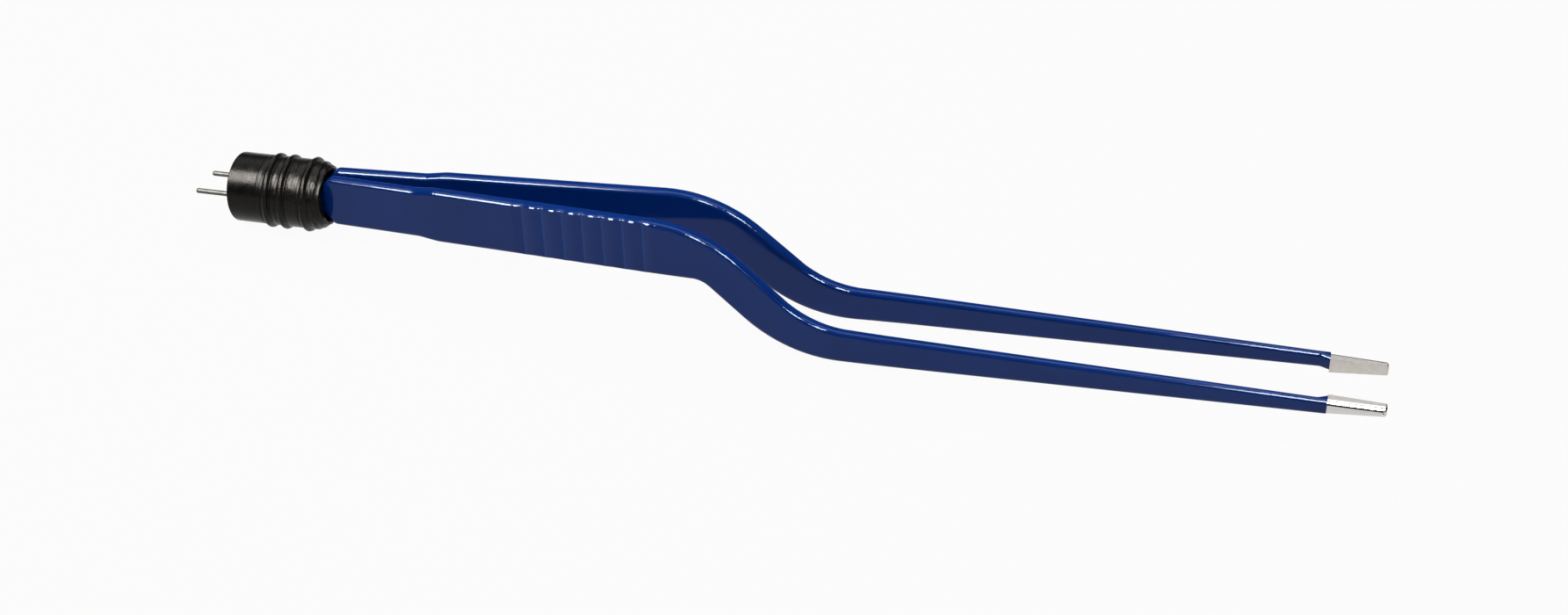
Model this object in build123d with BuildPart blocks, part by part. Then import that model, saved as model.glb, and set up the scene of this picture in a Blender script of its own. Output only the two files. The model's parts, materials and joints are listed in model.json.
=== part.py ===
import math
import os

from build123d import *

# Bayonet bipolar forceps. Sizes are in millimetres. Stations are distances along the handle axis, from the
# rear face of the connector towards the tips, and heights and offsets are measured from that axis.

# Connector barrel, its nose under the boot, and the cavity for the blade tangs
barrel_radius = 6.85
barrel_length = 6.0
rim_round = 0.2
nose_radius = 5.95
nose_front = 15.8
rear_wall = 3.0
tang_pocket_rear = 7.5
pocket_side_room = 0.45
pocket_edge_room = 0.2

# Contact pins and the terminals that join them to the tangs
pin_radius = 0.5
pin_shank_radius = 0.8
pin_tail_radius = 0.25
pin_offset = 3.45
pin_length = 8.3
pin_tip_round = 0.35
pin_hole_room = 0.02
collar_radius = 1.0
collar_length = 1.0
collar_room = 0.05
terminal_length = 4.0
terminal_width = 1.5
terminal_height = 2.6
terminal_overlap = 2.4
spacer_thickness = 0.6
spacer_front = 16.6

# Rubber boot over the nose, with raised rings and a tapered mouth
boot_fit = 0.05
boot_wall_front = 15.9
boot_shoulder = 17.0
shoulder_round = 2.0
boot_front = 19.2
lip_radius = 5.5
lip_round = 0.35
ring_rear = 7.45
ring_middle = 10.5
ring_front = 15.3
ring_bead_radius = 1.05
ring_height = 0.55
ring_lean = -4.5
mouth_half_width = 3.3
mouth_half_height = 4.6
mouth_round = 1.5

# Blades, sizes over the coating
coat = 0.3
edge_round = 0.8
tang_rear = 8.0
tang_half_height = 2.6
tang_offset = 1.45
coat_start = 17.2
shoulder_start = 18.2
shoulder_end = 20.2
shoulder_start_round = 0.8
shoulder_end_round = 1.6
neck_half_height = 5.1
neck_relief = 0.15
step_start = 38.5
step_length = 4.0
step_blend = 12.0
grip_half_height = 5.57
handle_thickness = 2.7
handle_lift = 0.33
handle_rise = 0.45
splay_start = 16.0
splay_blend = 30.0
handle_end = 88.0
handle_end_offset = 5.75
handle_end_blend = 300.0
elbow = 125.0
stem_offset = 7.3
elbow_thickness = 2.4
elbow_blend = 500.0
heel_thickness = 1.7
heel_top_blend = 20.0

# Bayonet bend, seen from the side
bend = 96.5
slant = 41.6
stem_drop = 15.33
elbow_half_height = 3.2
heel_half_height = 1.5
bend_top_radius = 27.5
bend_low_radius = 5.0
elbow_top_radius = 19.0
elbow_low_radius = 27.0

# Grip scallops on the outer face of each blade
groove_start = 61.05
groove_pitch = 4.05
groove_count = 7
groove_depth = 0.34
lobe_depth = 0.04
run_out = 0.8
run_bend = 0.35
bend_depth = 0.06

# Bare tips, and the flare of the coating where it ends
overall_length = 222.0
tip_length = 10.4
flare_length = 1.8
flare_blend = 1.5
tip_inner_offset = 5.6
tip_outer_offset = 7.6
tip_proud = 0.05
tip_rear_top_drop = 14.0
tip_rear_low_drop = 16.95
tip_front_top_drop = 14.25
tip_front_low_drop = 16.3
tip_outer_round = 0.85
tip_end_round = 0.45

# Station that each blade turns about as it is pressed in, just inside the mouth of the boot
pivot = 18.0

# Room past the ends of an outline, trimmed off later
overrun = 4.0
across = 30.0


# The bare faces diverge at rest by the angle that closes them, so that they meet flat.
coat_end = overall_length - tip_length
tip_slope = (tip_inner_offset - tip_proud) / (coat_end - pivot)
heel = coat_end - flare_length


def rise(station):
    """Height of the middle of the handle above the axis."""
    return handle_lift + math.tan(math.radians(handle_rise)) * (station - shoulder_end)


def meet(first, first_slope, second, second_slope):
    """Point where two straight lines cross."""
    run = (second[1] - first[1] + second_slope * (first[0] - second[0])) / (first_slope - second_slope)
    return (first[0] + run, first[1] + first_slope * run)


# Bayonet corners: the slanted stretch runs between the handle's edges and the stem's edges.
slant_slope = -math.tan(math.radians(slant))
stem_taper = (elbow_half_height - heel_half_height) / (heel - elbow)
bend_top = (bend, rise(bend) + grip_half_height)
bend_low = (bend, rise(bend) - grip_half_height)
elbow_top = meet(bend_top, slant_slope, (elbow, elbow_half_height - stem_drop), -stem_taper)
elbow_low = meet(bend_low, slant_slope, (elbow, -elbow_half_height - stem_drop), stem_taper)

# The forceps rest on the rear rim of the barrel and on the two elbows, so the handle axis leans upwards.
stem_angle = math.atan(stem_taper)
elbow_turn = math.radians(slant) + stem_angle
elbow_lean = math.pi / 2 + (stem_angle - math.radians(slant)) / 2
elbow_reach = elbow_low_radius / math.cos(elbow_turn / 2)
elbow_centre = (
    elbow_low[0] + elbow_reach * math.cos(elbow_lean),
    elbow_low[1] + elbow_reach * math.sin(elbow_lean),
)
rim_centre = (rim_round, rim_round - barrel_radius)
span = math.dist(rim_centre, elbow_centre)
line_angle = math.atan2(elbow_centre[1] - rim_centre[1], elbow_centre[0] - rim_centre[0])
floor_angle = line_angle - math.asin((elbow_low_radius - rim_round) / span)
lean = -floor_angle
axis_height = rim_round - rim_centre[0] * math.sin(lean) - rim_centre[1] * math.cos(lean)

# The origin is on the floor, midway between the pin tips and the blade tips.
along = Vector(math.cos(lean), 0, math.sin(lean))
upward = Vector(-math.sin(lean), 0, math.cos(lean))
pin_reach = along.X * -pin_length - upward.X * -pin_radius
tip_reach = along.X * overall_length + upward.X * -tip_front_low_drop
axis_start = Vector(-(pin_reach + tip_reach) / 2, 0, axis_height)

side_plane = Plane(origin=axis_start, x_dir=along, z_dir=(0, -1, 0))
plan_plane = Plane(origin=axis_start, x_dir=along, z_dir=upward)
cross_plane = Plane(origin=axis_start, x_dir=(0, 1, 0), z_dir=along)
axis = Axis(axis_start, along)


def side_edges():
    """Upper and lower edges of a blade seen from the side, as corners with their radii."""
    rear = tang_rear - overrun
    front = overall_length + overrun
    step_end = step_start + step_length
    upper = [
        (rear, handle_lift + tang_half_height, 0),
        (shoulder_start, handle_lift + tang_half_height, shoulder_start_round),
        (shoulder_end, rise(shoulder_end) + neck_half_height, shoulder_end_round),
        (step_start, rise(step_start) + neck_half_height, step_blend),
        (step_end, rise(step_end) + grip_half_height, step_blend),
        (*bend_top, bend_top_radius),
        (*elbow_top, elbow_top_radius),
        (heel, heel_half_height - stem_drop, heel_top_blend),
        (front, heel_half_height - stem_drop, 0),
    ]
    lower = [
        (rear, handle_lift - tang_half_height, 0),
        (shoulder_start, handle_lift - tang_half_height, shoulder_start_round),
        (shoulder_end, rise(shoulder_end) - neck_half_height, shoulder_end_round),
        (step_start, rise(step_start) - neck_half_height, step_blend),
        (step_end, rise(step_end) - grip_half_height, step_blend),
        (*bend_low, bend_low_radius),
        (*elbow_low, elbow_low_radius),
        (front, -heel_half_height - stem_drop + stem_taper * (front - heel), 0),
    ]
    return upper, lower


def plan_edges():
    """Inner and outer edges of the left blade seen from above, as corners with their radii."""
    rear = tang_rear - overrun
    front = overall_length + overrun
    half = handle_thickness / 2
    splay = (handle_end_offset - tang_offset) / (handle_end - splay_start)
    step_end = step_start + step_length
    neck_outer = tang_offset + half - neck_relief
    heel_inner = stem_offset - heel_thickness / 2
    flare_slope = (tip_inner_offset - heel_inner) / flare_length
    inner = [
        (rear, tang_offset - half, 0),
        (splay_start, tang_offset - half, splay_blend),
        (handle_end, handle_end_offset - half, handle_end_blend),
        (elbow, stem_offset - elbow_thickness / 2, elbow_blend),
        (heel, heel_inner, flare_blend),
        (coat_end + overrun, heel_inner + flare_slope * (flare_length + overrun), 0),
    ]
    outer = [
        (rear, neck_outer, 0),
        (splay_start, neck_outer, splay_blend),
        (step_start, neck_outer + splay * (step_start - splay_start), step_blend),
        (step_end, tang_offset + half + splay * (step_end - splay_start), step_blend),
        (handle_end, handle_end_offset + half, handle_end_blend),
        (elbow, stem_offset + elbow_thickness / 2, elbow_blend),
        (coat_end + overrun, stem_offset + heel_thickness / 2, 0),
    ]
    return inner, outer


def outline(first, second, inset):
    """Closed outline between two edges, drawn in by the coating's thickness for the steel."""
    with BuildSketch() as drawn:
        with BuildLine():
            one = FilletPolyline(*[corner[:2] for corner in first], radius=[corner[2] for corner in first[1:-1]])
            two = FilletPolyline(*[corner[:2] for corner in second], radius=[corner[2] for corner in second[1:-1]])
            Line(one @ 0, two @ 0)
            Line(one @ 1, two @ 1)
        make_face()
        if inset > 0:
            offset(amount=-inset, kind=Kind.INTERSECTION)
    return drawn.sketch


def scallops(inset):
    """Outline of everything outside the row of convex lobes on the outer face of the left grip."""
    splay = (handle_end_offset - tang_offset) / (handle_end - splay_start)
    last = groove_start + groove_pitch * (groove_count - 1)

    def point(station, depth):
        """Point at a depth below the outer grip face."""
        face = tang_offset + handle_thickness / 2 + splay * (station - splay_start)
        return (station, face - inset - depth)

    lead = point(groove_start - run_out * groove_pitch, -lobe_depth)
    tail = point(last + run_out * groove_pitch, -lobe_depth)
    before = point(groove_start - run_bend * groove_pitch, bend_depth)
    after = point(last + run_bend * groove_pitch, bend_depth)
    with BuildSketch() as drawn:
        with BuildLine():
            ThreePointArc(lead, before, point(groove_start, groove_depth))
            for number in range(groove_count - 1):
                station = groove_start + groove_pitch * number
                ThreePointArc(
                    point(station, groove_depth),
                    point(station + groove_pitch / 2, lobe_depth),
                    point(station + groove_pitch, groove_depth),
                )
            ThreePointArc(point(last, groove_depth), after, tail)
            Polyline(tail, (tail[0], tail[1] + overrun), (lead[0], tail[1] + overrun), lead)
        make_face()
    return drawn.sketch


def crossed(inset):
    """Left blade's side outline crossed with its plan outline."""
    with BuildPart() as block:
        with BuildSketch(side_plane):
            add(outline(*side_edges(), inset))
        extrude(amount=across, both=True)
        with BuildSketch(plan_plane):
            add(outline(*plan_edges(), inset))
        extrude(amount=across, both=True, mode=Mode.INTERSECT)
    return block.part


def blade_form(inset, rear, front):
    """Left blade between two stations, with rounded edges and a scalloped grip."""
    with BuildPart() as form:
        add(crossed(inset))
        split(bisect_by=cross_plane.offset(rear), keep=Keep.TOP)
        split(bisect_by=cross_plane.offset(front), keep=Keep.BOTTOM)
        square = form.edges().filter_by(Axis.Y) + form.edges().filter_by(Axis((0, 0, 0), upward))
        fillet([edge for edge in form.edges() if edge not in square], edge_round - inset)
        with BuildSketch(plan_plane):
            add(scallops(inset))
        extrude(amount=across, both=True, mode=Mode.SUBTRACT)
    return form.part


def tip_form():
    """Bare left tip: flat inside and rounded outside, from the coating's edge to the end."""
    face = tip_inner_offset - tip_proud
    back = stem_offset + heel_thickness / 2 - coat
    with BuildPart() as tip:
        with BuildSketch(side_plane):
            with BuildLine():
                Polyline(
                    (coat_end, -tip_rear_low_drop),
                    (overall_length, -tip_front_low_drop),
                    (overall_length, -tip_front_top_drop),
                    (coat_end, -tip_rear_top_drop),
                    close=True,
                )
            make_face()
        extrude(amount=across, both=True)
        with BuildSketch(plan_plane):
            with BuildLine():
                Polyline(
                    (coat_end, face),
                    (overall_length, face + tip_slope * tip_length),
                    (overall_length, tip_outer_offset),
                    (coat_end, back),
                    close=True,
                )
            make_face()
        extrude(amount=across, both=True, mode=Mode.INTERSECT)
        fillet(tip.edges().filter_by(Axis.Y).group_by(axis)[-1], tip_end_round)
        rear_edges = tip.faces().sort_by(axis)[0].edges()
        outside = tip.faces().sort_by(Axis.Y)[-1]
        fillet([edge for edge in outside.edges() if edge not in rear_edges], tip_outer_round)
    return tip.part


os.makedirs("parts", exist_ok=True)

with BuildPart() as left_blade:
    add(blade_form(coat, tang_rear, coat_end))
    add(tip_form())
left_blade.part.label = "left_blade"
export_step(left_blade.part, "parts/left_blade.step")

with BuildPart() as left_insulation:
    add(blade_form(0, coat_start, coat_end))
    add(left_blade.part, mode=Mode.SUBTRACT)
left_insulation.part.label = "left_insulation"
export_step(left_insulation.part, "parts/left_insulation.step")

with BuildPart() as right_blade:
    add(mirror(left_blade.part, about=Plane.XZ, mode=Mode.PRIVATE))
right_blade.part.label = "right_blade"
export_step(right_blade.part, "parts/right_blade.step")

with BuildPart() as right_insulation:
    add(mirror(left_insulation.part, about=Plane.XZ, mode=Mode.PRIVATE))
right_insulation.part.label = "right_insulation"
export_step(right_insulation.part, "parts/right_insulation.step")

# Cavity of the plug: the tangs swing in its middle, and a terminal sits in a slot at each side.
cavity_half_width = tang_offset + handle_thickness / 2 - coat + pocket_side_room
cavity_half_height = tang_half_height - coat + pocket_edge_room
terminal_offset = cavity_half_width + terminal_width / 2
terminal_rear = tang_pocket_rear

with BuildPart() as connector_body:
    with BuildSketch(side_plane):
        with BuildLine():
            Polyline(
                (0, 0),
                (0, barrel_radius),
                (barrel_length, barrel_radius),
                (barrel_length, nose_radius),
                (nose_front, nose_radius),
                (nose_front, 0),
                close=True,
            )
        make_face()
    revolve(axis=axis)
    fillet(connector_body.edges().filter_by(GeomType.CIRCLE).group_by(axis)[0], rim_round)
    with BuildSketch(cross_plane.offset(tang_pocket_rear)):
        with Locations((0, handle_lift)):
            Rectangle(2 * cavity_half_width, 2 * cavity_half_height)
    extrude(amount=nose_front, mode=Mode.SUBTRACT)
    with BuildSketch(cross_plane.offset(terminal_rear)):
        with Locations((terminal_offset, 0), (-terminal_offset, 0)):
            Rectangle(terminal_width, terminal_height)
    extrude(amount=nose_front, mode=Mode.SUBTRACT)
    with BuildSketch(cross_plane.offset(rear_wall)):
        with Locations((pin_offset, 0), (-pin_offset, 0)):
            Circle(collar_radius + collar_room)
    extrude(amount=terminal_rear - rear_wall, mode=Mode.SUBTRACT)
    with BuildSketch(cross_plane):
        with Locations((pin_offset, 0), (-pin_offset, 0)):
            Circle(pin_shank_radius + pin_hole_room)
    extrude(amount=rear_wall, mode=Mode.SUBTRACT)
connector_body.part.label = "connector_body"
export_step(connector_body.part, "parts/connector_body.step")

with BuildPart() as strain_boot:
    with BuildSketch(side_plane):
        with BuildLine():
            crown = FilletPolyline(
                (barrel_length, 0),
                (barrel_length, barrel_radius),
                (boot_shoulder, barrel_radius),
                (boot_front, lip_radius),
                (boot_front, 0),
                radius=[lip_round / 2, shoulder_round, lip_round],
            )
            Line(crown @ 1, crown @ 0)
        make_face()
    revolve(axis=axis)
    for station in (ring_rear, ring_middle, ring_front):
        leaned = Vector(math.cos(lean + math.radians(ring_lean)), 0, math.sin(lean + math.radians(ring_lean)))
        centre = axis_start + along * station
        with BuildSketch(Plane(origin=centre, x_dir=leaned, z_dir=(0, -1, 0))):
            with Locations((0, ring_bead_radius - barrel_radius - ring_height)):
                Circle(ring_bead_radius)
        revolve(axis=Axis(centre, leaned))
    with BuildSketch(cross_plane.offset(barrel_length)):
        Circle(nose_radius + boot_fit)
    extrude(amount=boot_wall_front - barrel_length, mode=Mode.SUBTRACT)
    with BuildSketch(cross_plane.offset(boot_wall_front)):
        with Locations((0, handle_lift)):
            RectangleRounded(2 * mouth_half_width, 2 * mouth_half_height, mouth_round)
    extrude(amount=boot_front, mode=Mode.SUBTRACT)
strain_boot.part.label = "strain_boot"
export_step(strain_boot.part, "parts/strain_boot.step")

with BuildPart() as blade_spacer:
    with BuildSketch(cross_plane.offset(tang_pocket_rear)):
        with Locations((0, handle_lift)):
            Rectangle(spacer_thickness, 2 * cavity_half_height)
    extrude(amount=spacer_front - tang_pocket_rear)
blade_spacer.part.label = "blade_spacer"
export_step(blade_spacer.part, "parts/blade_spacer.step")

for side, name in ((1, "left"), (-1, "right")):
    pin_axis = Axis(axis_start + Vector(0, side * pin_offset, 0), along)
    pin_plane = Plane(origin=pin_axis.position, x_dir=along, z_dir=(0, -1, 0))
    pin_inner = terminal_rear + terminal_overlap
    with BuildPart() as pin:
        with BuildSketch(pin_plane):
            with BuildLine():
                Polyline(
                    (-pin_length, 0),
                    (-pin_length, pin_radius),
                    (0, pin_radius),
                    (0, pin_shank_radius),
                    (rear_wall, pin_shank_radius),
                    (rear_wall, collar_radius),
                    (rear_wall + collar_length, collar_radius),
                    (rear_wall + collar_length, pin_tail_radius),
                    (pin_inner, pin_tail_radius),
                    (pin_inner, 0),
                    close=True,
                )
            make_face()
        revolve(axis=pin_axis)
        fillet(pin.edges().filter_by(GeomType.CIRCLE).group_by(axis)[0], pin_tip_round)
    pin.part.label = f"{name}_pin"
    export_step(pin.part, f"parts/{name}_pin.step")

    with BuildPart() as terminal:
        with BuildSketch(cross_plane.offset(terminal_rear)):
            with Locations((side * terminal_offset, 0)):
                Rectangle(terminal_width, terminal_height)
        extrude(amount=terminal_length)
        with BuildSketch(cross_plane.offset(terminal_rear)):
            with Locations((side * pin_offset, 0)):
                Circle(pin_tail_radius + pin_hole_room)
        extrude(amount=terminal_overlap, mode=Mode.SUBTRACT)
    terminal.part.label = f"{name}_terminal"
    export_step(terminal.part, f"parts/{name}_terminal.step")
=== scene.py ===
import json
import math

import bpy
from mathutils import Matrix, Vector, noise


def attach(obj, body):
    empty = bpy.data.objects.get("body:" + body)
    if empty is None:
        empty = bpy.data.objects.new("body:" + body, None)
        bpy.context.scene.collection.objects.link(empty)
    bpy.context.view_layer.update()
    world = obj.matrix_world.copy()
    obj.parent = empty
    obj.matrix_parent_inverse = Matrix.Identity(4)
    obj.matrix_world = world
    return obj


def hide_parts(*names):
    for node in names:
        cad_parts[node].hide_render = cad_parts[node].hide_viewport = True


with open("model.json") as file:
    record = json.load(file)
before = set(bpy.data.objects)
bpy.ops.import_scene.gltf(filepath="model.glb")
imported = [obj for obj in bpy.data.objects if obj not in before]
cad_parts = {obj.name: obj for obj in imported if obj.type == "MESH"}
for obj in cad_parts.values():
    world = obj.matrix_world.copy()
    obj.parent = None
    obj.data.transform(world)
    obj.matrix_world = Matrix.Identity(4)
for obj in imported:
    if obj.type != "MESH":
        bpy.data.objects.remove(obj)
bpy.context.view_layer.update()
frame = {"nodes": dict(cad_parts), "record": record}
nodes = frame["nodes"]

# The handle's own axes: along it from the plug's rear face, across it, and up from it.
mm = 0.001
plugFace = [mount for mount in frame["record"]["mounts"] if mount["name"] == "plug_face"][0]
axisStart = Vector(plugFace["pos_m"])
along = -Vector(plugFace["axis"])
across = Vector((0, 1, 0))
upward = along.cross(across)


def place(station, side, height):
    # millimetres in the handle's axes to metres in the frame
    return axisStart + (along * station + across * side + upward * height) * mm


def addPiece(name, data):
    piece = bpy.data.objects.new(name, data)
    bpy.context.collection.objects.link(piece)
    return piece


class Wire:
    # a shader socket that can be used in ordinary sums
    def __init__(self, finish, socket):
        self.finish = finish
        self.socket = socket

    def __add__(self, other):
        return self.finish.maths("ADD", self, other)

    def __radd__(self, other):
        return self.finish.maths("ADD", other, self)

    def __sub__(self, other):
        return self.finish.maths("SUBTRACT", self, other)

    def __rsub__(self, other):
        return self.finish.maths("SUBTRACT", other, self)

    def __mul__(self, other):
        return self.finish.maths("MULTIPLY", self, other)

    def __rmul__(self, other):
        return self.finish.maths("MULTIPLY", other, self)


class Finish:
    # one material, with every node made by the same method
    def __init__(self, name):
        self.material = bpy.data.materials.new(name)
        self.material.use_nodes = True
        self.tree = self.material.node_tree
        self.tree.nodes.clear()

    def node(self, kind, settings=None, values=None, out=0):
        # the settings come first, because some of them change which sockets there are
        made = self.tree.nodes.new(kind)
        for name, setting in (settings or {}).items():
            setattr(made, name, setting)
        for name, value in (values or {}).items():
            if isinstance(value, Wire):
                self.tree.links.new(value.socket, made.inputs[name])
            else:
                made.inputs[name].default_value = value
        return Wire(self, made.outputs[out]) if made.outputs else made

    def maths(self, operation, *values):
        return self.node("ShaderNodeMath", {"operation": operation}, dict(enumerate(values)), "Value")

    def vector(self, operation, first, second, out="Vector"):
        return self.node("ShaderNodeVectorMath", {"operation": operation}, {0: first, 1: second}, out)

    def mix(self, amount, first, second):
        # colours: sockets 6 and 7 are the two colours, and output 2 is the mixed one
        settings = {"data_type": "RGBA", "clamp_factor": True}
        return self.node("ShaderNodeMix", settings, {0: amount, 6: first, 7: second}, 2)

    def mixVectors(self, amount, first, second):
        # vectors: sockets 4 and 5 are the two vectors, and output 1 is the mixed one
        settings = {"data_type": "VECTOR", "clamp_factor": True}
        return self.node("ShaderNodeMix", settings, {0: amount, 4: first, 5: second}, 1)

    def span(self, value, low, high, start=0.0, end=1.0):
        # value from low to high becomes start to end, smoothly and clamped
        wires = {"Value": value, "From Min": low, "From Max": high, "To Min": start, "To Max": end}
        return self.node("ShaderNodeMapRange", {"interpolation_type": "SMOOTHSTEP"}, wires, "Result")

    def handle(self):
        # station, offset and height in millimetres, which a piece carries with it as it moves
        here = self.node("ShaderNodeTexCoord", out="Object")
        local = self.vector("SUBTRACT", here, axisStart)
        return [self.vector("DOT_PRODUCT", local, way / mm, "Value") for way in (along, across, upward)]

    def speckle(self, spots, size, detail=3.0, roughness=0.5, pull=(1, 1, 1)):
        # noise with cells of about size millimetres, and longer where pull is small
        wires = {axis: spot * (factor / size) for axis, spot, factor in zip("XYZ", spots, pull)}
        where = self.node("ShaderNodeCombineXYZ", None, wires)
        wires = {"Vector": where, "Scale": 1.0, "Detail": detail, "Roughness": roughness}
        return self.node("ShaderNodeTexNoise", None, wires, "Fac")

    def outward(self, spots):
        # how far a blade's surface faces away from the other blade, from -1 to 1
        normal = self.node("ShaderNodeTexCoord", out="Normal")
        return self.vector("DOT_PRODUCT", normal, across, "Value") * self.maths("SIGN", spots[1])

    def bump(self, height, depth, under=None):
        # depth is in millimetres, for a height of one
        wires = {"Height": height, "Distance": depth * mm, "Strength": 1.0}
        if under:
            wires["Normal"] = under
        return self.node("ShaderNodeBump", None, wires, "Normal")

    def surface(self, values):
        shader = self.node("ShaderNodeBsdfPrincipled", None, values, "BSDF")
        self.node("ShaderNodeOutputMaterial", None, {"Surface": shader})
        return self.material


# Blue coating: dipped vinyl, glossy, with slow waves and a fine orange peel. Sizes, depths and
# stations are in millimetres, and a range is where a pattern fades in.
coating = {
    "colour": (0.0010, 0.033, 0.225, 1),
    "deepColour": (0.0006, 0.021, 0.150, 1),
    "clouds": {"size": 14.0, "detail": 2.0},
    "cloudRange": (0.35, 0.70),
    "cloudShare": 0.35,
    "endStation": 211.6,
    "endFade": 5.0,
    "endShare": 0.75,
    "gloss": 0.09,
    "smearGloss": 0.16,
    "smears": {"size": 5.0, "detail": 4.0, "pull": (0.4, 1, 1)},
    "smearRange": (0.50, 0.72),
    "waves": {"size": 7.0, "detail": 1.0},
    "waveDepth": 0.020,
    "peel": {"size": 0.9, "detail": 1.0},
    "peelDepth": 0.0022,
    "firstGroove": 61.05,
    "lastGroove": 85.35,
    "groovePitch": 4.05,
    "grooveFade": 2.5,
    # lighter blue painted along each groove of the outer face, as a painted highlight
    "grooveHighlightColour": (0.0040, 0.065, 0.36, 1),
    "grooveHighlightShare": 0.7,
    "grooveHighlightRange": (0.90, 1.0),
    "outerFace": (0.6, 0.9),
    "lobeRise": 0.15,
    "edgeFrom": (0.0, 0.35),
    "edgeTo": (0.84, 0.97),
    "sheen": 0.25,
    "sheenTint": (0.80, 0.89, 1.0, 1),
}


def blueCoating():
    finish = Finish("blueCoating")
    spots = finish.handle()
    # the coat is thinner and darker where it ends, near the bare tips
    clouds = finish.span(finish.speckle(spots, **coating["clouds"]), *coating["cloudRange"])
    nearEnd = finish.span(spots[0], coating["endStation"] - coating["endFade"], coating["endStation"])
    depth = clouds * coating["cloudShare"] + nearEnd * coating["endShare"]
    colour = finish.mix(depth, coating["colour"], coating["deepColour"])
    smears = finish.span(finish.speckle(spots, **coating["smears"]), *coating["smearRange"])
    # the lobes of the grip swell out to its edges
    first, last, fade = coating["firstGroove"], coating["lastGroove"], coating["grooveFade"]
    phase = (spots[0] - first) * (2 * math.pi / coating["groovePitch"])
    swing = finish.maths("COSINE", phase)
    onGrip = finish.span(spots[0], first - fade, first) - finish.span(spots[0], last, last + fade)
    facing = finish.outward(spots)
    rounded = finish.span(facing, *coating["edgeFrom"]) - finish.span(facing, *coating["edgeTo"])
    lobes = (0.5 - swing * 0.5) * onGrip * rounded
    # painted highlight: the base colour turns a lighter blue along each groove of the outer face, where the coat
    # would catch the light
    outer = finish.span(facing, *coating["outerFace"])
    paintedGrooveHighlight = finish.span(swing, *coating["grooveHighlightRange"]) * onGrip * outer
    waves = finish.bump(finish.speckle(spots, **coating["waves"]), coating["waveDepth"])
    swollen = finish.bump(lobes, coating["lobeRise"], waves)
    return finish.surface({
        # the base colour carries the painted highlight along the grooves
        "Base Color": finish.mix(paintedGrooveHighlight * coating["grooveHighlightShare"], colour, coating["grooveHighlightColour"]),
        "Roughness": smears * (coating["smearGloss"] - coating["gloss"]) + coating["gloss"],
        "Normal": finish.bump(finish.speckle(spots, **coating["peel"]), coating["peelDepth"], swollen),
        "Specular IOR Level": coating["sheen"],
        "Specular Tint": coating["sheenTint"],
    })


# Black moulded plastic of the plug: satin, with a mottled skin and faint scuffs
plugBlack = {
    "colour": (0.004, 0.004, 0.004, 1),
    "worn": (0.016, 0.014, 0.012, 1),
    "scuffs": {"size": 3.0, "detail": 6.0, "roughness": 0.7, "pull": (0.5, 1, 1)},
    "scuffRange": (0.56, 0.74),
    "scuffShare": 0.7,
    "satin": 0.20,
    "dull": 0.32,
    "mottle": {"size": 2.2, "detail": 5.0, "roughness": 0.6},
    "mottleRange": (0.3, 0.7),
    "mottleRise": 1.5,
    "grain": {"size": 0.35, "detail": 4.0},
    "grainDepth": 0.012,
    "sheen": 0.14,
    "sheenTint": (1.0, 0.93, 0.85, 1),
}


def plugPlastic():
    finish = Finish("plugPlastic")
    spots = finish.handle()
    mottle = finish.speckle(spots, **plugBlack["mottle"])
    scuffs = finish.span(finish.speckle(spots, **plugBlack["scuffs"]), *plugBlack["scuffRange"])
    skin = finish.speckle(spots, **plugBlack["grain"]) + mottle * plugBlack["mottleRise"]
    return finish.surface({
        "Base Color": finish.mix(scuffs * plugBlack["scuffShare"], plugBlack["colour"], plugBlack["worn"]),
        "Roughness": finish.span(mottle, *plugBlack["mottleRange"], plugBlack["satin"], plugBlack["dull"]),
        "Normal": finish.bump(skin, plugBlack["grainDepth"]),
        "Specular IOR Level": plugBlack["sheen"],
        "Specular Tint": plugBlack["sheenTint"],
    })


# Black rubber of the boot: softer sheen, fine wrinkles round it, and patches of dust
bootBlack = {
    "colour": (0.004, 0.004, 0.004, 1),
    "dusty": (0.015, 0.013, 0.011, 1),
    "dust": {"size": 1.2, "detail": 6.0, "roughness": 0.7},
    "dustRange": (0.55, 0.75),
    "dustShare": 0.6,
    "satin": 0.24,
    "dull": 0.36,
    "mottle": {"size": 1.8, "detail": 5.0, "roughness": 0.6},
    "mottleRange": (0.3, 0.7),
    "wrinkles": {"size": 0.8, "detail": 3.0, "pull": (1, 0.3, 0.3)},
    "wrinkleDepth": 0.012,
    "grain": {"size": 0.25, "detail": 3.0},
    "grainDepth": 0.010,
    "sheen": 0.15,
    "sheenTint": (1.0, 0.93, 0.85, 1),
}


def bootRubber():
    finish = Finish("bootRubber")
    spots = finish.handle()
    mottle = finish.speckle(spots, **bootBlack["mottle"])
    dust = finish.span(finish.speckle(spots, **bootBlack["dust"]), *bootBlack["dustRange"])
    wrinkles = finish.bump(finish.speckle(spots, **bootBlack["wrinkles"]), bootBlack["wrinkleDepth"])
    return finish.surface({
        "Base Color": finish.mix(dust * bootBlack["dustShare"], bootBlack["colour"], bootBlack["dusty"]),
        "Roughness": finish.span(mottle, *bootBlack["mottleRange"], bootBlack["satin"], bootBlack["dull"]),
        "Normal": finish.bump(finish.speckle(spots, **bootBlack["grain"]), bootBlack["grainDepth"], wrinkles),
        "Specular IOR Level": bootBlack["sheen"],
        "Specular Tint": bootBlack["sheenTint"],
    })


# Drawn steel of the contact pins, with lines along them and patches of tarnish
pinSteel = {
    "colour": (0.085, 0.080, 0.073, 1),
    "tarnished": (0.035, 0.031, 0.027, 1),
    "tarnish": {"size": 1.1, "detail": 4.0},
    "tarnishRange": (0.45, 0.72),
    "tarnishShare": 0.6,
    "bright": 0.40,
    "worn": 0.58,
    "lines": {"size": 0.12, "detail": 3.0, "pull": (0.03, 1, 1)},
    "lineRange": (0.3, 0.7),
    "lineDepth": 0.006,
}


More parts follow.
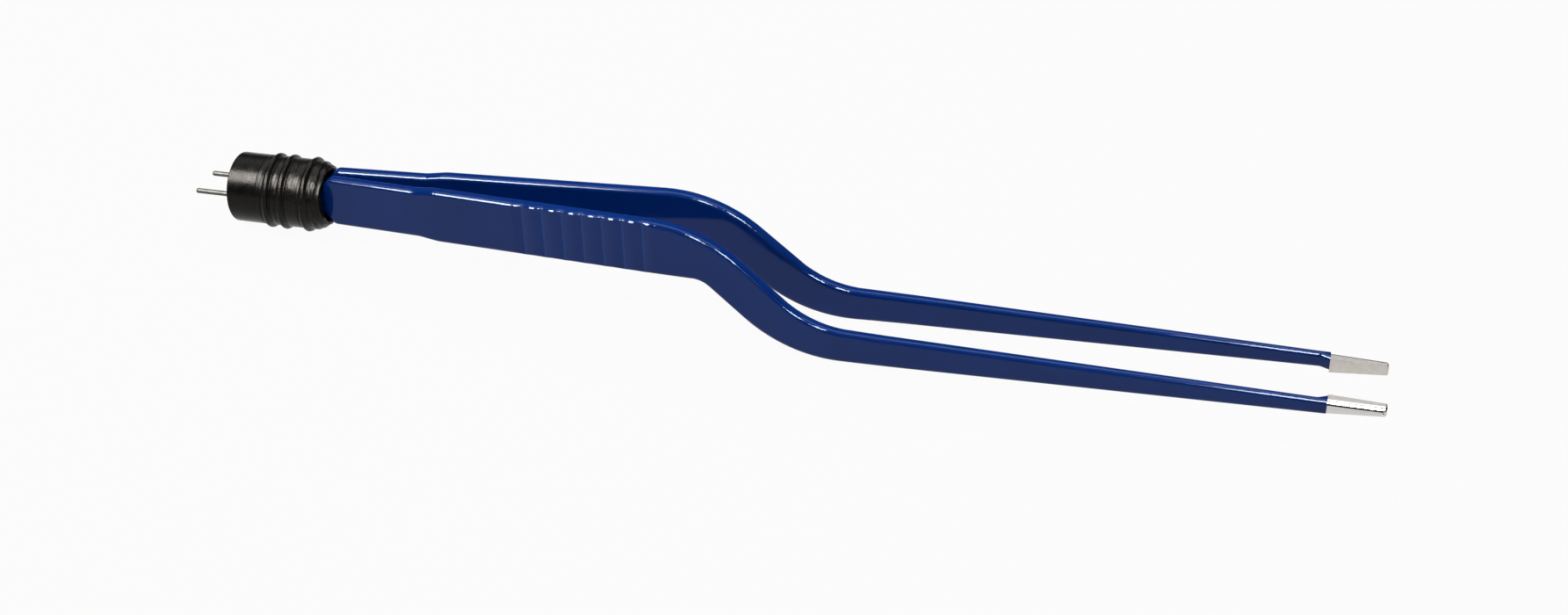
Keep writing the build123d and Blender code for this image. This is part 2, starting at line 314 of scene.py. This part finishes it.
def pinMetal():
    finish = Finish("pinMetal")
    spots = finish.handle()
    lines = finish.speckle(spots, **pinSteel["lines"])
    tarnish = finish.span(finish.speckle(spots, **pinSteel["tarnish"]), *pinSteel["tarnishRange"])
    return finish.surface({
        "Base Color": finish.mix(tarnish * pinSteel["tarnishShare"], pinSteel["colour"], pinSteel["tarnished"]),
        "Metallic": 1.0,
        "Roughness": finish.span(lines, *pinSteel["lineRange"], pinSteel["bright"], pinSteel["worn"]),
        "Normal": finish.bump(lines, pinSteel["lineDepth"]),
    })


# Bare steel of the blades: ground flat and matt inside the tips, polished outside them.
# The crown's foot and top are heights from the handle's axis.
tipSteel = {
    "polished": (0.60, 0.59, 0.575, 1),
    "ground": (0.50, 0.47, 0.44, 1),
    "clouded": (0.38, 0.355, 0.33, 1),
    "clouds": {"size": 0.9, "detail": 4.0},
    "cloudRange": (0.35, 0.7),
    "cloudShare": 0.35,
    "innerFace": (-0.05, 0.20),
    "mirror": 0.05,
    "matt": 0.44,
    "mattSpread": 0.08,
    "lines": {"size": 0.07, "detail": 3.0, "pull": (1, 1, 0.12)},
    "lineRange": (0.3, 0.7),
    "lineDepth": 0.004,
    "waves": {"size": 2.4, "detail": 1.0, "pull": (1, 1, 0.6)},
    "waveDepth": 0.010,
    "crownFoot": -16.9,
    "crownTop": -13.9,
    "crownDepth": 0.62,
}


def bareSteel():
    finish = Finish("bareSteel")
    spots = finish.handle()
    inner = finish.span(finish.outward(spots), *tipSteel["innerFace"], 1.0, 0.0)
    lines = finish.speckle(spots, **tipSteel["lines"])
    waves = finish.bump(finish.speckle(spots, **tipSteel["waves"]), tipSteel["waveDepth"])
    # outside, the polished face leans back most at its middle
    lean = finish.span(spots[2], tipSteel["crownFoot"], tipSteel["crownTop"], 1.0, 0.0)
    crowned = finish.bump(lean, tipSteel["crownDepth"], waves)
    clouds = finish.span(finish.speckle(spots, **tipSteel["clouds"]), *tipSteel["cloudRange"])
    groundTone = finish.mix(clouds * tipSteel["cloudShare"], tipSteel["ground"], tipSteel["clouded"])
    matt, spread = tipSteel["matt"], tipSteel["mattSpread"]
    roughness = finish.span(lines, *tipSteel["lineRange"], matt - spread, matt + spread)
    normal = finish.mixVectors(inner, crowned, waves)
    return finish.surface({
        "Base Color": finish.mix(inner, tipSteel["polished"], groundTone),
        "Metallic": 1.0,
        "Roughness": inner * (roughness - tipSteel["mirror"]) + tipSteel["mirror"],
        "Normal": finish.bump(lines * inner, tipSteel["lineDepth"], normal),
    })


# Brass of the terminals inside the plug
brass = {
    "colour": (0.74, 0.55, 0.26, 1),
    "stained": (0.42, 0.29, 0.13, 1),
    "stain": {"size": 0.8, "detail": 4.0},
    "stainRange": (0.4, 0.7),
    "stainShare": 0.6,
    "bright": 0.28,
    "stainRoughness": 0.2,
    "grainSize": 0.2,
    "grainDepth": 0.005,
}


def terminalBrass():
    finish = Finish("terminalBrass")
    spots = finish.handle()
    stain = finish.span(finish.speckle(spots, **brass["stain"]), *brass["stainRange"])
    return finish.surface({
        "Base Color": finish.mix(stain * brass["stainShare"], brass["colour"], brass["stained"]),
        "Metallic": 1.0,
        "Roughness": stain * brass["stainRoughness"] + brass["bright"],
        "Normal": finish.bump(finish.speckle(spots, brass["grainSize"]), brass["grainDepth"]),
    })


# Natural plastic of the spacer between the tangs
spacer = {
    "colour": (0.76, 0.75, 0.70, 1),
    "shadedColour": (0.66, 0.64, 0.58, 1),
    "shade": {"size": 1.5, "detail": 4.0},
    "satin": 0.4,
    "shadeRoughness": 0.2,
    "grainSize": 0.3,
    "grainDepth": 0.004,
}


def spacerPlastic():
    finish = Finish("spacerPlastic")
    spots = finish.handle()
    shade = finish.speckle(spots, **spacer["shade"])
    return finish.surface({
        "Base Color": finish.mix(shade, spacer["colour"], spacer["shadedColour"]),
        "Roughness": shade * spacer["shadeRoughness"] + spacer["satin"],
        "Normal": finish.bump(finish.speckle(spots, spacer["grainSize"]), spacer["grainDepth"]),
    })


def dress(finish, *names):
    # gives each named node its finish, in every slot that it has
    for name in names:
        slots = nodes[name].data.materials
        if len(slots) == 0:
            slots.append(finish)
        for index in range(len(slots)):
            slots[index] = finish


dress(blueCoating(), "left_insulation", "right_insulation")
dress(bareSteel(), "left_blade", "right_blade")
dress(plugPlastic(), "connector_body")
dress(pinMetal(), "left_pin", "right_pin")
dress(terminalBrass(), "left_terminal", "right_terminal")
dress(spacerPlastic(), "blade_spacer")
rubber = bootRubber()
dress(rubber, "strain_boot")
print("finishes made")

# Rubber boot, in millimetres along and out from the handle's axis. Leans and turns are in degrees.
boot = {
    "rear": 6.0,
    "front": 19.2,
    "radius": 6.85,
    "shoulder": 16.2,  # where the boot begins to draw in
    "shoulderCurve": 1.8,
    "lipRadius": 5.5,
    "boreRadius": 6.0,
    "boreMiddle": 11.0,
    "boreFront": 15.9,
    "rearFade": 0.5,  # length over which the unevenness begins
    "rearTuck": 0.05,
    "tuckLength": 0.1,
    "rings": (7.45, 10.5, 15.3),
    "ringHeight": 0.55,
    "ringWidth": 0.76,
    "ringCurve": 1.25,
    "ringLean": -4.5,
    "ringTurn": 4.0,
    "ringWander": 0.14,
    "wanderFrom": 3.0,  # where in the noise the first ring is read, and how far apart they are
    "wanderPitch": 5.0,
    "ringUneven": 0.22,
    "unevenRate": 2,
    "unevenPitch": 9.0,
    "creaseDepth": 0.22,
    "creaseWidth": 0.24,
    "creaseSet": 1.08,  # ring widths from a ring's middle to its creases
    "foldStart": 16.4,
    "foldRate": 5.2,
    "foldWander": 1.5,
    "foldDepth": 0.10,
    "foldReach": 1.05,
    "noiseAlong": 0.9,
    "noiseAround": 3.2,
    "swell": 0.03,
    "swellRate": 0.55,
    "ripple": 0.022,
    "rippleRate": 2.3,
    "lipStart": 0.25,  # how far behind the front the lip starts to roll
    "lipShares": (0.12, 0.3, 0.5, 0.7, 0.86, 0.96, 1.0),
    "lipBulge": 0.22,
    "lipTurn": 2.2,
    "lipFall": 0.9,
    "puckers": 13,
    "puckerDepth": 0.16,
    "puckerRate": 4,
    "mouth": (3.3, 4.6),
    "mouthCorner": 5,
    "mouthRise": 0.33,
    "mouthStations": (17.6, 16.8),
    "around": 288,
    "steps": 150,
    "sharpAngle": 55,
}


def crown(station):
    # smooth outline of the boot from its rear edge, over the shoulder, to the lip
    share = max(0.0, (station - boot["shoulder"]) / (boot["front"] - boot["shoulder"]))
    return boot["radius"] - (boot["radius"] - boot["lipRadius"]) * share ** boot["shoulderCurve"]


def ringRise(leaned, angle):
    # what the raised rings add, and the creases beside them take away
    rise = 0.0
    around = Vector((math.cos(angle), math.sin(angle), 0))
    for number, ring in enumerate(boot["rings"]):
        # each ring wanders a little, and is fuller on some sides than on others
        depth = boot["wanderFrom"] + boot["wanderPitch"] * number
        wander = boot["ringWander"] * noise.noise(around + Vector((0, 0, depth)))
        depth = boot["unevenPitch"] * number
        full = 1.0 + boot["ringUneven"] * noise.noise(around * boot["unevenRate"] + Vector((0, 0, depth)))
        away = leaned - ring - wander
        gap = away / boot["ringWidth"]
        if abs(gap) < 1:
            rise += min(1.0, full) * boot["ringHeight"] * (1 - gap * gap) ** boot["ringCurve"]
        for side in (-1, 1):
            crease = (away - side * boot["ringWidth"] * boot["creaseSet"]) / boot["creaseWidth"]
            rise -= boot["creaseDepth"] * math.exp(-crease * crease)
    return rise


def bootRadius(station, angle):
    leaned = station + math.tan(math.radians(boot["ringLean"])) * boot["radius"] * math.sin(angle)
    leaned += math.tan(math.radians(boot["ringTurn"])) * boot["radius"] * math.cos(angle)
    wide = boot["noiseAround"]
    spot = Vector((station * boot["noiseAlong"], wide * math.cos(angle), wide * math.sin(angle)))
    # folds round the shoulder, where the rubber draws in to the blades
    drawn = max(0.0, (station - boot["foldStart"]) / (boot["front"] - boot["foldStart"]))
    fold = math.sin(leaned * boot["foldRate"] + boot["foldWander"] * noise.noise(spot))
    fold *= boot["foldDepth"] * math.sin(math.pi * min(1.0, drawn * boot["foldReach"]))
    uneven = boot["swell"] * noise.noise(spot * boot["swellRate"])
    uneven += boot["ripple"] * noise.noise(spot * boot["rippleRate"])
    uneven *= min(1.0, (station - boot["rear"]) / boot["rearFade"])
    return crown(station) + ringRise(leaned, angle) + fold + uneven


def mouthReach(angle):
    # rounded rectangle that the blades come out of
    halfWidth, halfHeight = boot["mouth"]
    wide = (abs(math.cos(angle)) / halfWidth) ** boot["mouthCorner"]
    high = (abs(math.sin(angle)) / halfHeight) ** boot["mouthCorner"]
    return (wide + high) ** (-1 / boot["mouthCorner"])


def bootPoint(station, reach, angle, rise=0.0):
    return place(station, reach * math.cos(angle), reach * math.sin(angle) + rise)


def lipPoint(share, angle):
    # the lip rolls over, puckers, and falls into the mouth as share goes from 0 to 1
    start = boot["front"] - boot["lipStart"]
    outer, inner = bootRadius(start, angle), mouthReach(angle)
    pucker = boot["puckerDepth"] * math.sin(boot["puckers"] * angle) * math.sin(share * math.pi)
    pucker *= noise.noise(Vector((boot["puckerRate"] * angle, share, 1.0)))
    station = start + boot["lipBulge"] * math.sin(min(1.0, share * boot["lipTurn"]) * math.pi / 2)
    station += pucker - boot["lipFall"] * share ** 3
    return bootPoint(station, outer + (inner - outer) * share, angle, boot["mouthRise"] * share)


def bootLoops():
    angles = [2 * math.pi * number / boot["around"] for number in range(boot["around"])]
    rear, steps = boot["rear"], boot["steps"]
    length = boot["front"] - boot["lipStart"] - rear
    loops = []
    for step in range(steps + 1):
        station = rear + length * step / steps
        tuck = boot["rearTuck"] * max(0.0, 1 - (station - rear) / boot["tuckLength"]) ** 2
        loops.append([bootPoint(station, bootRadius(station, angle) - tuck, angle) for angle in angles])
    for share in boot["lipShares"]:
        loops.append([lipPoint(share, angle) for angle in angles])
    for station in (*boot["mouthStations"], boot["boreFront"]):
        loops.append([bootPoint(station, mouthReach(angle), angle, boot["mouthRise"]) for angle in angles])
    for station in (boot["boreFront"], boot["boreMiddle"], rear):
        loops.append([bootPoint(station, boot["boreRadius"], angle) for angle in angles])
    return loops


def loopMesh(name, loops, finish, body):
    # closes a stack of rings of points into a solid ring, and lets it ride on a body
    count = len(loops[0])
    points = [point for loop in loops for point in loop]
    faces = []
    for row in range(len(loops)):
        nextRow = (row + 1) % len(loops)
        for column in range(count):
            nextColumn = (column + 1) % count
            corners = (row, column), (row, nextColumn), (nextRow, nextColumn), (nextRow, column)
            faces.append([first * count + second for first, second in corners])
    mesh = bpy.data.meshes.new(name)
    mesh.from_pydata(points, [], faces)
    mesh.validate()
    mesh.shade_smooth()
    mesh.set_sharp_from_angle(angle=math.radians(boot["sharpAngle"]))
    mesh.materials.append(finish)
    piece = addPiece(name, mesh)
    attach(piece, body)
    return piece


bootPiece = loopMesh("rubberBoot", bootLoops(), rubber, "plug")
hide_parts("strain_boot")
print("boot made")

# Pale floor that stays white to the camera and to reflections, and keeps the shadow
floor = {
    "radius": 6.0,  # metres, as is the drop below the forceps
    "drop": 0.0001,
    "sides": 96,
    "colour": (0.42, 0.42, 0.42, 1),
    "paler": (0.44, 0.44, 0.44, 1),
    "patchSize": 60.0,
    "white": (1, 1, 1, 1),
    "glow": 0.95,
}


def floorFinish():
    finish = Finish("paleFloor")
    patches = finish.speckle(finish.handle(), floor["patchSize"])
    tone = finish.mix(patches, floor["colour"], floor["paler"])
    diffuse = finish.node("ShaderNodeBsdfDiffuse", None, {"Color": tone})
    white = finish.node("ShaderNodeEmission", None, {"Color": floor["white"], "Strength": 1.0})
    camera, glossy, through = (
        finish.node("ShaderNodeLightPath", out=f"Is {kind} Ray") for kind in ("Camera", "Glossy", "Transmission")
    )
    seen = finish.maths("MAXIMUM", camera, finish.maths("MAXIMUM", glossy, through))
    mixed = finish.node("ShaderNodeMixShader", None, {0: seen * floor["glow"], 1: diffuse, 2: white})
    finish.node("ShaderNodeOutputMaterial", None, {"Surface": mixed})
    return finish.material


def floorPiece():
    turns = [2 * math.pi * number / floor["sides"] for number in range(floor["sides"])]
    reach = floor["radius"]
    rim = [(reach * math.cos(turn), reach * math.sin(turn), -floor["drop"]) for turn in turns]
    mesh = bpy.data.meshes.new("floor")
    mesh.from_pydata(rim, [], [list(range(len(rim)))])
    mesh.materials.append(floorFinish())
    addPiece("floor", mesh)


floorPiece()

# Lamps: millimetres in the handle's axes for where they hang, metres for their sizes. Those that
# don't gleam only light the surfaces, and those that don't light are only mirrored in them.
lamps = {
    "overhead": {"at": (105, 450, 900), "size": (1.2, 0.8), "radiance": 2.4},
    "frontBox": {"at": (-30, -400, 890), "size": (0.34, 0.34), "radiance": 14.0, "gleams": False},
    "rearGleam": {"at": (-335, -430, 855), "size": (0.30, 0.56), "radiance": 60.0, "lights": False},
    "middleGleam": {"at": (300, -490, 840), "size": (0.16, 0.56), "radiance": 50.0, "lights": False},
    "frontGleam": {"at": (640, -490, 680), "size": (0.24, 0.50), "radiance": 50.0, "lights": False},
}
aim = (105, 0, -5)


def hang(name, lamp):
    light = bpy.data.lights.new(name, "AREA")
    light.shape = "RECTANGLE"
    light.size, light.size_y = lamp["size"]
    light.energy = lamp["radiance"] * math.pi * light.size * light.size_y
    piece = addPiece(name, light)
    spot = place(*lamp["at"])
    piece.location = spot
    piece.visible_diffuse = lamp.get("lights", True)
    piece.visible_glossy = lamp.get("gleams", True)
    # its width stays level, along the forceps
    back = (spot - place(*aim)).normalized()
    side = (Vector((1, 0, 0)) - back * back.x).normalized()
    piece.rotation_euler = Matrix((side, back.cross(side), back)).transposed().to_euler()


for lampName, lampValues in lamps.items():
    hang(lampName, lampValues)

# Faint cool light from all round
studio = {"Color": (0.93, 0.97, 1.0, 1), "Strength": 0.07}


def lightRoom():
    world = bpy.data.worlds.new("studio")
    world.use_nodes = True
    for name, value in studio.items():
        world.node_tree.nodes["Background"].inputs[name].default_value = value
    bpy.context.scene.world = world


lightRoom()
print("floor and lamps made")

# Camera: degrees that it is turned, tilted and rolled from the handle's axes, and where the
# plug's rear face lies from it, in millimetres to its right, in front of it and above it
photo = {
    "turn": 15.378,
    "tilt": 33.769,
    "roll": 1.775,
    "right": -107.219,
    "ahead": 417.919,
    "above": 24.082,
    "focalPixels": 2400.0,
    "widthPixels": 1785.0,
    "sensor": 36.0,
    "nearest": 0.01,  # metres
}


def makeCamera():
    turn, tilt, roll = (math.radians(photo[name]) for name in ("turn", "tilt", "roll"))
    turned = Matrix(((math.cos(turn), math.sin(turn), 0), (-math.sin(turn), math.cos(turn), 0), (0, 0, 1)))
    tilted = Matrix(((1, 0, 0), (0, math.cos(tilt), -math.sin(tilt)), (0, math.sin(tilt), math.cos(tilt))))
    rolled = Matrix(((math.cos(roll), 0, -math.sin(roll)), (0, 1, 0), (math.sin(roll), 0, math.cos(roll))))
    view = rolled @ tilted @ turned
    stand = view.transposed() @ -Vector((photo["right"], photo["ahead"], photo["above"]))
    ways = Matrix((along, across, upward)).transposed()
    right, ahead, above = (ways @ row for row in view)
    camera = bpy.data.cameras.new("camera")
    camera.sensor_width = photo["sensor"]
    camera.lens = photo["sensor"] * photo["focalPixels"] / photo["widthPixels"]
    camera.clip_start = photo["nearest"]
    placed = Matrix((right, above, -ahead)).transposed().to_4x4()
    placed.translation = place(*stand)
    piece = addPiece("camera", camera)
    piece.matrix_world = placed
    bpy.context.scene.camera = piece


makeCamera()
bpy.context.scene.view_settings.view_transform = "Standard"
print("camera made")
